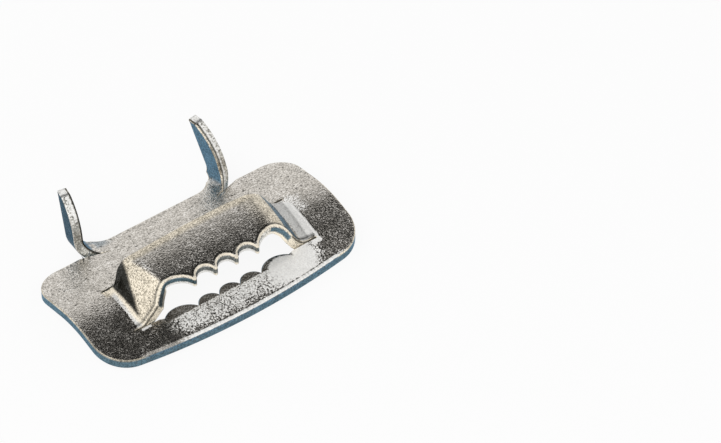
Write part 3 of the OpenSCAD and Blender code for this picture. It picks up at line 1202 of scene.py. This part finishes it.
@dataclass(frozen=True)
class WallPaintedLightAndWear:
    """Painted light on the cut edges; spans and rises are shares of the gauge below the top face.
    """

    pressing: Pressing
    rim: Rim
    bite_wall: tuple = (0.13, 0.25)
    plain_wall: tuple = (0.1, 0.22)
    bite_lower: tuple = (0.62, 0.74)
    bite_turned: tuple = (0.3, 0.6)
    ramp_line: tuple = (0.1, 0.1, 0.12)
    tip_line: tuple = (0.06, 0.14, 0.06)
    right_line: tuple = (0.19, 0.3, 0.06)
    left_line: tuple = (-1.0, 0.14, 0.08)
    right_white: tuple = (0.38, 0.48, 0.06)
    left_white: tuple = (0.3, 0.5, 0.1)
    ear_tall: tuple = (4.0, 6.0)
    tip_reach: float = 0.05
    nose_reach: float = 0.3

    def shares(self, near: Shares, deep: np.ndarray) -> Shares:
        """Shares of painted light and wear at one depth of the cut edges.

        Args:
            near: Shares of the top face beside the edge.
            deep: Share of the gauge below the top face.

        Returns:
            Shares by name.
        """
        bridge, rim = self.pressing.bridge, self.rim
        x, lean = rim.points[:, 0], rim.inward[:, 0]
        front = (rim.zones == Zone.BRIDGE.value) & (rim.points[:, 1] < 0.0)
        bites = front & (np.abs(x) < bridge.bite_half - 0.1)
        ramps = front & ~bites
        small = bites & (np.abs(x) < 1.5 * bridge.pitch)
        pale = bites & (x > 1.5 * bridge.pitch) & (lean < 0.05)
        ears = np.isin(rim.zones, EAR_ZONES)
        wall = np.where(bites, climb(deep, *self.bite_wall), climb(deep, *self.plain_wall))
        lower = np.where(bites, climb(deep, *self.bite_lower), 0.0)
        turned = np.where(bites & ~pale, climb(-lean, *self.bite_turned), 0.0)
        blue = np.where(small, 0.55, np.where(pale, 0.1, 1.0))
        soot = np.where(ramps, band(deep, *self.ramp_line), 0.8 * turned * wall)
        dark = np.where(small, 0.4 * (wall - lower), 0.0)
        matt = np.where(bites, np.maximum(0.7 * (1.0 - wall), lower), near["matt"] * (1.0 - wall))
        # Painted blue reflection on the walls, painted warm reflection on the rims, painted shade
        # lines and matt steel with painted highlight bands.
        light_and_wear = {
            "cool": np.where(ears | ramps, 0.0, (wall - lower) * blue),
            "warm": np.maximum(near["warm"], np.where(ramps, 1.0, 1.0 - wall)),
            "soot": np.max([near["soot"] * (1.0 - wall), soot, dark], axis=0),
            "matt": np.where(ramps | pale, np.maximum(0.6 * wall, matt), matt),
        }
        for zone, ear, side in self.pressing.ears:
            mine = rim.zones == zone.value
            for name, share in self._ear(ear, side, deep).items():
                light_and_wear[name] = np.where(mine, share, light_and_wear[name])
        return light_and_wear

    def _ear(self, ear: Ear, side: float, deep: np.ndarray) -> Shares:
        """Painted shade line, painted highlight band and tip on the edge of one ear.

        Args:
            ear: Ear to mark.
            side: 1 for the right one, -1 for the left one.
            deep: Share of the gauge below the inner face.

        Returns:
            Shares by name.
        """
        out, along = ear.local(side * self.rim.points[:, 0], self.rim.points[:, 1])
        end = ear.unfold(ear.high)
        tip = out > end - self.tip_reach
        nose = np.hypot(along - ear.nose, out - end) < self.nose_reach
        tall = climb(out, *self.ear_tall)
        # Painted shade line and painted highlight band along the ear's edge.
        if side > 0:
            line, white = band(deep, *self.right_line), band(deep, *self.right_white)
        else:
            line, white = band(deep, *self.left_line), band(deep, *self.left_white) * tall
        line = np.where(tip, band(deep, *self.tip_line), line)
        bright = np.where(tip, 0.75, np.maximum(0.2 + 0.25 * tall, 0.9 * white))
        soot = np.where(nose, 0.9, np.where(tip, 0.8, 1.0) * line)
        return {"soot": soot, "matt": bright * (1.0 - line)}


@dataclass
class FacePaintedLightAndWear:
    """Painted light and wear on the top face and the underside of the whole sheet."""

    pressing: Pressing
    ear_bend: tuple = (0.35, 0.55)
    ear_outside: float = 0.5

    def __post_init__(self) -> None:
        """Sets up the marks of the plate and the bridge, which share the painted light strip."""
        strip = FootStrip()
        self.plate = PlatePaintedLightAndWear(self.pressing.plate, strip)
        self.bridge = BridgePaintedLightAndWear(self.pressing.bridge, strip)

    def top(self, xy: np.ndarray, zones: np.ndarray) -> Shares:
        """Shares of painted light and wear at places of the top face.

        Args:
            xy: Places on the flat pattern.
            zones: Zone values of the places.

        Returns:
            Shares by name: painted blue reflection on upright steel, painted warm reflection on
                bends, painted shade in hollows and dark spots, and matt steel with painted
                highlights in its bright grain.
        """
        steep = np.abs(self.pressing.form(xy, zones)[1][:, 0])
        light_and_wear = {name: np.zeros(len(xy)) for name in PAINTED_LIGHT_AND_WEAR}
        # Painted blue reflection on the ears' bends and faces.
        light_and_wear["cool"] = np.where(np.isin(zones, EAR_ZONES), climb(steep, *self.ear_bend), 0.0)
        x, y = xy[:, 0], xy[:, 1]
        plate, bridge = zones == Zone.PLATE.value, zones == Zone.BRIDGE.value
        marked = ((plate, self.plate.shares(x[plate], y[plate])),
                  (bridge, self.bridge.shares(x[bridge], y[bridge], steep[bridge])))
        for mine, shares in marked:
            for name, share in shares.items():
                light_and_wear[name][mine] = np.clip(share, 0.0, 1.0)
        return light_and_wear

    def under(self, top: Shares, zones: np.ndarray) -> Shares:
        """Shares of painted light of the underside, given those of the top face above it."""
        light_and_wear = {name: np.zeros(len(zones)) for name in PAINTED_LIGHT_AND_WEAR}
        # The underside keeps the painted blue reflection of the top; the ears' outer faces get
        # painted shade.
        light_and_wear["cool"] = top["cool"]
        light_and_wear["soot"] = np.where(np.isin(zones, EAR_ZONES), self.ear_outside, 0.0)
        return light_and_wear


@dataclass
class SheetMesh:
    """Mesh of the pressing, made from its pattern."""

    pressing: Pressing
    name: str = "pressed_buckle"
    ring_steps: int = 4
    wall_steps: int = 8
    clearance: float = 0.14

    def build(self) -> bpy.types.Object:
        """Triangulates the pattern, forms it and closes it with rounded edges.

        Returns:
            The finished piece.
        """
        shape = self.pressing
        cuts = [shape.outer_edge(), shape.front_opening(), shape.back_cut()]
        self.rim = Rim(cuts, shape.rounding.room_share)
        inset = self.rim.moved_in(1.0)
        loops = [inset[start:end] for start, end in self.rim.spans]
        places = shape.filling()
        places = places[inside(places, loops)]
        gap = np.min(np.linalg.norm(places[:, None] - inset[None], axis=2), axis=1)
        places = places[gap > self.clearance]
        flat = np.concatenate([inset, places])
        zones = np.concatenate([self.rim.zones, shape.zone_at(places)])
        return self._assemble(*self._triangulate(flat, zones, loops))

    def dress(self, piece: bpy.types.Object) -> None:
        """Gives the faces and the cut edges their steel."""
        grain = TumbledGrain()
        for skin in Skin:
            piece.data.materials.append(SteelMaterial(FINISHES[skin], grain).material)

    def _triangulate(self, flat: np.ndarray, zones: np.ndarray, loops: list[np.ndarray]) -> tuple:
        """Fills the pattern with triangles that keep its edges.

        Args:
            flat: Edge places first, then the filling.
            zones: Zone values of the places.
            loops: Closed outlines as arrays.

        Returns:
            Places, zones, triangles and, for each edge place, its new number.
        """
        edges = [(k, int(n)) for k, n in enumerate(self.rim.follow)]
        spots = [Vector(place) for place in flat]
        verts, _, tris, source, _, _ = delaunay_2d_cdt(spots, edges, [], 0, MERGE)
        co = np.array([tuple(v) for v in verts])
        tris = np.array([t for t in tris if len(t) == 3])
        tris = tris[inside(co[tris].mean(axis=1), loops)]
        first = np.array([olds[0] if olds else -1 for olds in source])
        kept = np.where(first >= 0, zones[first], self.pressing.zone_at(co))
        tris = tris[~self._spans_slot(co[tris], kept[tris])]
        a, b, c = co[tris[:, 0]], co[tris[:, 1]], co[tris[:, 2]]
        spin = (b[:, 0] - a[:, 0]) * (c[:, 1] - a[:, 1]) - (b[:, 1] - a[:, 1]) * (c[:, 0] - a[:, 0])
        tris = np.where((spin > 0)[:, None], tris, tris[:, ::-1])
        number = np.full(len(flat), -1)
        for new, olds in enumerate(source):
            for old in olds:
                number[old] = new
        return co, kept, tris, number[:len(self.rim)]

    def _spans_slot(self, corners: np.ndarray, zones: np.ndarray) -> np.ndarray:
        """Tells which triangles reach from the rail to the teeth.

        Args:
            corners: Corners of the triangles in plan.
            zones: Zone values of the corners.

        Returns:
            True for triangles that cross the slot.
        """
        bridge = zones == Zone.BRIDGE.value
        mixed = bridge.any(axis=1) & ~bridge.all(axis=1)
        return mixed & (np.abs(corners[:, :, 0]).max(axis=1) < self.pressing.bridge.cut_half - 1.0)

    def _rings(self) -> list:
        """Formed rings from the top face over the rounded edge to the underside.

        Returns:
            Points, places on the pattern and shares of depth, from top to bottom, without the rings
            on the faces.
        """
        shape, rim = self.pressing, self.rim
        gauge = shape.stock.gauge
        turns = np.linspace(0.0, pi / 2, self.ring_steps + 1)[1:]
        burr = np.minimum(shape.rounding.burr, rim.rounds)
        levels = [(1 - sin(t), rim.rounds * (1 - cos(t)), 1.0) for t in turns]
        for k in range(1, self.wall_steps):
            share = k / self.wall_steps
            levels.append((0.0, rim.rounds * (1 - share) + (gauge - burr) * share, 1.0 - share))
        levels += [(1 - sin(t), gauge - burr * (1 - cos(t)), 0.0) for t in turns[::-1][:-1]]
        rings = []
        for inset, deep, struck in levels:
            place = rim.moved_in(inset)
            spot, _, down = shape.form(place, rim.zones)
            deep = deep + struck * shape.sink(place, rim.zones)
            rings.append((spot - down * deep[:, None], place, deep / gauge))
        return rings

    def _assemble(self, flat: np.ndarray, zones: np.ndarray, tris: np.ndarray,
                  index: np.ndarray) -> bpy.types.Object:
        """Joins the faces and the rings into one closed mesh.

        Args:
            flat: Places of the faces.
            zones: Zone values of the places.
            tris: Triangles of the top face.
            index: Number of each edge place among the places.

        Returns:
            The piece, in metres.
        """
        shape = self.pressing
        spot, _, down = shape.form(flat, zones)
        top = spot - down * shape.sink(flat, zones)[:, None]
        under = spot - down * shape.stock.gauge
        rings = self._rings()
        count, size = len(flat), len(self.rim)
        verts = np.concatenate([top, under] + [ring[0] for ring in rings]) * MM
        faces = tris.tolist() + (tris[:, ::-1] + count).tolist()
        skins = [Skin.FACE.value] * len(faces)
        levels = [np.arange(size) + 2 * count + k * size for k in range(len(rings))]
        levels = [index] + levels + [index + count]
        follow = self.rim.follow
        for level, (upper, lower) in enumerate(zip(levels[:-1], levels[1:])):
            wall = self.ring_steps <= level < self.ring_steps + self.wall_steps
            skins += [Skin.CUT.value if wall else Skin.FACE.value] * size
            faces += np.stack([upper, lower, lower[follow], upper[follow]], axis=1).tolist()
        mesh = bpy.data.meshes.new(self.name)
        mesh.from_pydata(verts.tolist(), [], faces)
        mesh.polygons.foreach_set("material_index", skins)
        mesh.polygons.foreach_set("use_smooth", [True] * len(faces))
        self._mark(mesh, flat, zones, rings)
        mesh.validate()
        mesh.update()
        piece = bpy.data.objects.new(self.name, mesh)
        bpy.context.scene.collection.objects.link(piece)
        return piece

    def _mark(self, mesh: bpy.types.Mesh, flat: np.ndarray, zones: np.ndarray, rings: list) -> None:
        """Stores the shares of painted light and wear on the mesh.

        Args:
            mesh: Mesh to mark.
            flat: Places of the faces.
            zones: Zone values of the places.
            rings: Formed rings between the faces.
        """
        faces = FacePaintedLightAndWear(self.pressing)
        walls = WallPaintedLightAndWear(self.pressing, self.rim)
        top = faces.top(flat, zones)
        parts = [top, faces.under(top, zones)]
        for _, place, deep in rings:
            parts.append(walls.shares(faces.top(place, self.rim.zones), deep))
        for name in PAINTED_LIGHT_AND_WEAR:
            shares = np.concatenate([part[name] for part in parts])
            layer = mesh.attributes.new(name, "FLOAT", "POINT")
            layer.data.foreach_set("value", shares.astype(np.float32))


@dataclass(frozen=True)
class SteelFinish:
    """Look of one skin of the steel, with the colours of its painted warm and blue reflections."""

    name: str
    tone: tuple
    warm: tuple
    cool: tuple
    rough: float
    bump: float
    glint: float
    grain: float = 4300.0


@dataclass(frozen=True)
class GrainTones:
    """Colours that the grain and the painted light give to either skin."""

    pit: tuple = (0.10, 0.09, 0.08)
    # Painted shade colour.
    soot: tuple = (0.045, 0.045, 0.04)
    # Painted highlight colour of the bright grain, also in warm reflection and in painted shade.
    bright: tuple = (0.95, 0.94, 0.91)
    bright_warm_reflection: tuple = (0.95, 0.86, 0.70)
    bright_painted_shade: tuple = (0.08, 0.08, 0.075)
    dull_low: tuple = (0.47, 0.47, 0.46)
    dull_high: tuple = (1.22, 1.22, 1.22)
    lit_low: tuple = (0.92, 0.92, 0.92)
    lit_high: tuple = (1.1, 1.1, 1.1)
    sheen: tuple = (1.0, 1.0, 1.0)
    # Specular tints of the painted blue reflection and of the painted shade.
    sheen_blue_reflection: tuple = (0.58, 0.74, 0.88)
    sheen_painted_shade: tuple = (0.25, 0.25, 0.25)


TONES = GrainTones()
# Each skin's reflection colours: painted warm reflection of the backdrop and painted blue
# reflection of the floor.
FINISHES = {
    Skin.FACE: SteelFinish("tumbled_steel", tone=(0.67, 0.63, 0.575), warm=(0.68, 0.61, 0.49),
                           cool=(0.115, 0.20, 0.27), rough=0.16, bump=1.0, glint=0.21),
    Skin.CUT: SteelFinish("sheared_steel", tone=(0.70, 0.68, 0.62), warm=(0.72, 0.67, 0.56),
                          cool=(0.125, 0.20, 0.245), rough=0.3, bump=0.7, glint=0.0),
}


class NodeKit:
    """Short ways to make nodes and links in one node tree."""

    def __init__(self, tree: bpy.types.NodeTree) -> None:
        """Keeps the tree to work in."""
        self.tree = tree

    def node(self, kind: str, **settings: object) -> bpy.types.Node:
        """Makes a node.

        Args:
            kind: Type name of the node.
            settings: Properties to set on it.

        Returns:
            The node.
        """
        made = self.tree.nodes.new(kind)
        for key, value in settings.items():
            setattr(made, key, value)
        return made

    def feed(self, source: Socket, target: Socket) -> None:
        """Links one socket to another."""
        self.tree.links.new(source, target)

    def put(self, value: object, target: Socket) -> None:
        """Sets a socket to a number or a colour, or links it to another socket."""
        if isinstance(value, tuple):
            target.default_value = (*value, 1.0)
        elif isinstance(value, (int, float)):
            target.default_value = value
        else:
            self.feed(value, target)

    def _blend(self, kind: str, factor: object, first: object, second: object) -> Socket:
        """Blends two colours.

        Args:
            kind: Name of the blend.
            factor: Share of the second colour.
            first: First colour.
            second: Second colour.

        Returns:
            The socket of the blended colour.
        """
        blend = self.node("ShaderNodeMix", data_type="RGBA", blend_type=kind)
        self.put(factor, blend.inputs["Factor"])
        for colour, socket in zip((first, second), [s for s in blend.inputs if s.type == "RGBA"]):
            self.put(colour, socket)
        return next(s for s in blend.outputs if s.type == "RGBA")

    def mix(self, factor: Socket, first: object, second: object) -> Socket:
        """Mixes two colours, each given as a colour or a socket."""
        return self._blend("MIX", factor, first, second)

    def tint(self, first: Socket, second: Socket) -> Socket:
        """Multiplies two colours."""
        return self._blend("MULTIPLY", 1.0, first, second)

    def sums(self, operation: str, first: object, second: object) -> Socket:
        """Joins two values, each given as a number or a socket.

        Args:
            operation: Name of the operation.
            first: First value.
            second: Second value.

        Returns:
            The socket of the result.
        """
        math = self.node("ShaderNodeMath", operation=operation)
        for value, socket in zip((first, second), math.inputs):
            self.put(value, socket)
        return math.outputs["Value"]

    def spread(self, value: Socket, low: float, high: float) -> Socket:
        """Stretches a range of a value to 0 to 1."""
        ranged = self.node("ShaderNodeMapRange")
        ranged.inputs["From Min"].default_value = low
        ranged.inputs["From Max"].default_value = high
        self.feed(value, ranged.inputs["Value"])
        return ranged.outputs["Result"]


@dataclass
class TumbledGrain:
    """Node group for the grain and specks that tumbling leaves on the steel."""

    broad_size: float = 0.16
    pit_size: float = 0.62
    fine_weight: float = 0.75
    broad_weight: float = 0.25
    pit_deep: float = 0.3

    def __post_init__(self) -> None:
        """Builds the group."""
        self.group = bpy.data.node_groups.new("Tumbled grain", "ShaderNodeTree")
        face = self.group.interface
        face.new_socket("Size", in_out="INPUT", socket_type="NodeSocketFloat")
        for name in ("Tone", "Specks", "Height"):
            face.new_socket(name, in_out="OUTPUT", socket_type="NodeSocketFloat")
        kit = NodeKit(self.group)
        size = kit.node("NodeGroupInput").outputs["Size"]
        end = kit.node("NodeGroupOutput")
        where = kit.node("ShaderNodeTexCoord").outputs["Object"]
        fine = self._noise(kit, where, size, 2.0, 0.6)
        broad = self._noise(kit, where, kit.sums("MULTIPLY", size, self.broad_size), 2.0, 0.5)
        pits = self._noise(kit, where, kit.sums("MULTIPLY", size, self.pit_size), 1.0, 0.5)
        fine_tone = kit.sums("MULTIPLY", kit.spread(fine, 0.40, 0.60), self.fine_weight)
        broad_tone = kit.sums("MULTIPLY", kit.spread(broad, 0.35, 0.65), self.broad_weight)
        kit.feed(kit.sums("ADD", fine_tone, broad_tone), end.inputs["Tone"])
        kit.feed(kit.spread(pits, 0.62, 0.71), end.inputs["Specks"])
        sunk = kit.sums("MULTIPLY", kit.spread(pits, 0.66, 0.8), self.pit_deep)
        kit.feed(kit.sums("SUBTRACT", fine, sunk), end.inputs["Height"])

    def _noise(self, kit: NodeKit, where: Socket, scale: Socket, detail: float,
               rough: float) -> Socket:
        """Adds one noise.

        Args:
            kit: Tree to work in.
            where: Coordinates.
            scale: Scale of the noise.
            detail: Octaves.
            rough: Weight of the finer octaves.

        Returns:
            The socket of the noise value.
        """
        noise = kit.node("ShaderNodeTexNoise")
        noise.inputs["Detail"].default_value = detail
        noise.inputs["Roughness"].default_value = rough
        kit.feed(where, noise.inputs["Vector"])
        kit.feed(scale, noise.inputs["Scale"])
        return noise.outputs["Fac"]


@dataclass
class SteelMaterial:
    """Procedural steel for one skin."""

    finish: SteelFinish
    grain: TumbledGrain
    metal: float = 0.96
    glint_metal: float = 0.8
    glint_rough: float = 0.3
    glint_range: tuple = (1.18, 1.75)
    pit_weight: float = 0.75
    grain_high: float = 0.00007

    def __post_init__(self) -> None:
        """Builds the material."""
        self.material = bpy.data.materials.new(self.finish.name)
        self.material.use_nodes = True
        self.material.node_tree.nodes.clear()
        kit = NodeKit(self.material.node_tree)
        out = kit.node("ShaderNodeOutputMaterial")
        steel = kit.node("ShaderNodeBsdfPrincipled")
        kit.feed(steel.outputs["BSDF"], out.inputs["Surface"])
        grit = kit.node("ShaderNodeGroup", node_tree=self.grain.group)
        grit.inputs["Size"].default_value = self.finish.grain
        marks = {name: self._mark(kit, name) for name in PAINTED_LIGHT_AND_WEAR}
        glint = self._glint(kit, grit.outputs["Tone"], marks)
        kit.feed(self._colour(kit, grit, marks, glint), steel.inputs["Base Color"])
        # Painted blue reflection and painted shade also tint the specular.
        sheen = kit.mix(marks["cool"], TONES.sheen, TONES.sheen_blue_reflection)
        kit.feed(kit.mix(marks["soot"], sheen, TONES.sheen_painted_shade), steel.inputs["Specular Tint"])
        dulled = kit.sums("MULTIPLY", glint, self.glint_metal)
        kit.feed(kit.sums("SUBTRACT", self.metal, dulled), steel.inputs["Metallic"])
        roughened = kit.sums("MULTIPLY", glint, self.glint_rough)
        kit.feed(kit.sums("ADD", self.finish.rough, roughened), steel.inputs["Roughness"])
        bump = kit.node("ShaderNodeBump")
        bump.inputs["Strength"].default_value = self.finish.bump
        bump.inputs["Distance"].default_value = self.grain_high
        kit.feed(grit.outputs["Height"], bump.inputs["Height"])
        kit.feed(bump.outputs["Normal"], steel.inputs["Normal"])

    def _mark(self, kit: NodeKit, name: str) -> Socket:
        """Reads one share of painted light and wear from the mesh."""
        return kit.node("ShaderNodeAttribute", attribute_name=name).outputs["Fac"]

    def _glint(self, kit: NodeKit, tone: Socket, marks: dict[str, Socket]) -> Socket:
        """Picks the brightest grains as painted glints, more of them where highlights are painted
        on matt steel.

        Args:
            kit: Tree to work in.
            tone: Tone of the grain.
            marks: Shares of painted light and wear by name.

        Returns:
            The socket of the share of bright grain.
        """
        # Painted glints: bright grains, more where highlights are painted.
        rub_and_highlight = kit.sums("MAXIMUM", marks["matt"], self.finish.glint)
        rub_and_highlight = kit.sums("MULTIPLY", rub_and_highlight, kit.sums("SUBTRACT", 1.0, marks["cool"]))
        lifted = kit.sums("ADD", tone, kit.sums("MULTIPLY", rub_and_highlight, 2.0))
        return kit.spread(lifted, *self.glint_range)

    def _colour(self, kit: NodeKit, grit: bpy.types.Node, marks: dict[str, Socket],
                glint: Socket) -> Socket:
        """Colours the dull and the bright grains, with painted reflections and painted shade, and
        mixes them.

        Args:
            kit: Tree to work in.
            grit: Node of the grain group.
            marks: Shares of painted light and wear by name.
            glint: Share of bright grain.

        Returns:
            The socket of the colour.
        """
        tone = grit.outputs["Tone"]
        # Painted warm and blue reflections, then painted shade.
        colour = kit.mix(marks["warm"], self.finish.tone, self.finish.warm)
        colour = kit.mix(marks["cool"], colour, self.finish.cool)
        pits = kit.sums("MULTIPLY", grit.outputs["Specks"], self.pit_weight)
        colour = kit.mix(marks["soot"], kit.mix(pits, colour, TONES.pit), TONES.soot)
        # Painted highlights of the bright grain, darkened in painted shade.
        bright = kit.mix(marks["warm"], TONES.bright, TONES.bright_warm_reflection)
        bright = kit.mix(marks["soot"], bright, TONES.bright_painted_shade)
        dull = kit.tint(colour, kit.mix(tone, TONES.dull_low, TONES.dull_high))
        lit = kit.tint(bright, kit.mix(tone, TONES.lit_low, TONES.lit_high))
        return kit.mix(glint, dull, lit)


@dataclass
class Studio:
    """Camera in millimetres, and floor, light and backdrop in metres."""

    azimuth: float = radians(36.09)
    elevation: float = radians(45.67)
    distance: float = 707.53
    aim: tuple = (22.908, -5.161, 0.412)
    view_angle: float = radians(8.0)
    far_clip: float = 10.0
    floor_half: tuple = (3.0, 3.0)
    floor_tone: float = 0.9
    floor_glow: float = 0.9
    sky: float = 0.9
    card_half: tuple = (0.29, 0.26)
    card_spot: tuple = (0.22, 0.115, 0.5)
    card_tone: float = 0.03
    lamp_spot: tuple = (-0.5, -0.25, 0.8)
    lamp_size: float = 0.9
    lamp_energy: float = 2.5

    def build(self) -> None:
        """Sets the whole stage."""
        self.camera()
        self.floor()
        self.world()
        self.dark_card()
        self.lamp()

    def _aimed(self, spot: Vector, back: Vector) -> Matrix:
        """Place of a camera or lamp that looks away from a direction."""
        return Matrix.Translation(spot) @ back.to_track_quat("Z", "Y").to_matrix().to_4x4()

    def camera(self) -> None:
        """Sets the camera at the photograph's angle."""
        data = bpy.data.cameras.new("camera")
        data.sensor_fit = "HORIZONTAL"
        data.angle = self.view_angle
        data.clip_end = self.far_clip
        data.dof.use_dof = False
        camera = bpy.data.objects.new("camera", data)
        a, e = self.azimuth, self.elevation
        back = Vector((-sin(a) * cos(e), -cos(a) * cos(e), sin(e)))
        camera.matrix_world = self._aimed((Vector(self.aim) + back * self.distance) * MM, back)
        bpy.context.scene.collection.objects.link(camera)
        bpy.context.scene.camera = camera

    def _seen(self, kit: NodeKit) -> Socket:
        """Tells rays that see the background directly or in a reflection."""
        rays = kit.node("ShaderNodeLightPath").outputs
        shiny = kit.sums("MAXIMUM", rays["Is Glossy Ray"], rays["Is Transmission Ray"])
        return kit.sums("MAXIMUM", rays["Is Camera Ray"], shiny)

    def _sheet(self, name: str, half: tuple, spot: tuple) -> bpy.types.Object:
        """Lays a level sheet of the stage.

        Args:
            name: Name of the sheet.
            half: Half its sizes.
            spot: Its middle.

        Returns:
            The sheet.
        """
        x, y = half
        mesh = bpy.data.meshes.new(name)
        mesh.from_pydata([(-x, -y, 0), (x, -y, 0), (x, y, 0), (-x, y, 0)], [], [(0, 1, 2, 3)])
        sheet = bpy.data.objects.new(name, mesh)
        sheet.location = spot
        bpy.context.scene.collection.objects.link(sheet)
        return sheet

    def floor(self) -> None:
        """Lays the pale floor, white to the camera but for the shadow."""
        floor = self._sheet("floor", self.floor_half, (0.0, 0.0, 0.0))
        paint = bpy.data.materials.new("pale_floor")
        paint.use_nodes = True
        paint.node_tree.nodes.clear()
        kit = NodeKit(paint.node_tree)
        out = kit.node("ShaderNodeOutputMaterial")
        matt = kit.node("ShaderNodeBsdfDiffuse")
        matt.inputs["Color"].default_value = (*[self.floor_tone] * 3, 1.0)
        glow = kit.node("ShaderNodeEmission")
        glow.inputs["Color"].default_value = (1.0, 1.0, 1.0, 1.0)
        mix = kit.node("ShaderNodeMixShader")
        kit.feed(kit.sums("MULTIPLY", self._seen(kit), self.floor_glow), mix.inputs["Fac"])
        kit.feed(matt.outputs["BSDF"], mix.inputs[1])
        kit.feed(glow.outputs["Emission"], mix.inputs[2])
        kit.feed(mix.outputs["Shader"], out.inputs["Surface"])
        floor.data.materials.append(paint)

    def world(self) -> None:
        """Sets the backdrop, white where the camera or a reflection sees it."""
        world = bpy.data.worlds.new("backdrop")
        world.use_nodes = True
        world.node_tree.nodes.clear()
        kit = NodeKit(world.node_tree)
        out = kit.node("ShaderNodeOutputWorld")
        sky = kit.node("ShaderNodeBackground")
        sky.inputs["Color"].default_value = (1.0, 1.0, 1.0, 1.0)
        kit.feed(sky.outputs["Background"], out.inputs["Surface"])
        extra = kit.sums("MULTIPLY", self._seen(kit), 1.0 - self.sky)
        kit.feed(kit.sums("ADD", self.sky, extra), sky.inputs["Strength"])
        bpy.context.scene.world = world

    def dark_card(self) -> None:
        """Hangs the dark card that the front of the steel mirrors."""
        card = self._sheet("dark_card", self.card_half, self.card_spot)
        paint = bpy.data.materials.new("black_card")
        paint.use_nodes = True
        coat = paint.node_tree.nodes["Principled BSDF"]
        coat.inputs["Base Color"].default_value = (*[self.card_tone] * 3, 1.0)
        coat.inputs["Roughness"].default_value = 1.0
        card.data.materials.append(paint)
        card.visible_camera = False

    def lamp(self) -> None:
        """Adds the soft key light."""
        data = bpy.data.lights.new("key", "AREA")
        data.size = self.lamp_size
        data.energy = self.lamp_energy
        lamp = bpy.data.objects.new("key", data)
        spot = Vector(self.lamp_spot)
        lamp.matrix_world = self._aimed(spot, spot)
        bpy.context.scene.collection.objects.link(lamp)


def build_pressing() -> Pressing:
    """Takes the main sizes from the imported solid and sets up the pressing.

    Returns:
        The pressing, in millimetres.
    """
    low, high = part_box(NODE)
    stock = Stock()
    plate = Plate(stock, half=high.x / MM, front=-low.y / MM)
    right_ear, left_ear = Ear(stock, high=RIGHT_EAR_HIGH), Ear(stock, high=LEFT_EAR_HIGH)
    return Pressing(stock, plate, Bridge(stock), right_ear, left_ear)


def main() -> None:
    """Builds the piece, dresses it and sets the stage."""
    logging.basicConfig(level=logging.INFO)
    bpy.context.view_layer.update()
    bpy.context.scene.view_settings.view_transform = "Standard"
    sheet = SheetMesh(build_pressing())
    piece = sheet.build()
    sheet.dress(piece)
    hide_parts(NODE)
    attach(piece, BODY)
    LOG.info("piece %s: %d faces", piece.name, len(piece.data.polygons))
    Studio().build()


if __name__ == "__main__":
    main()
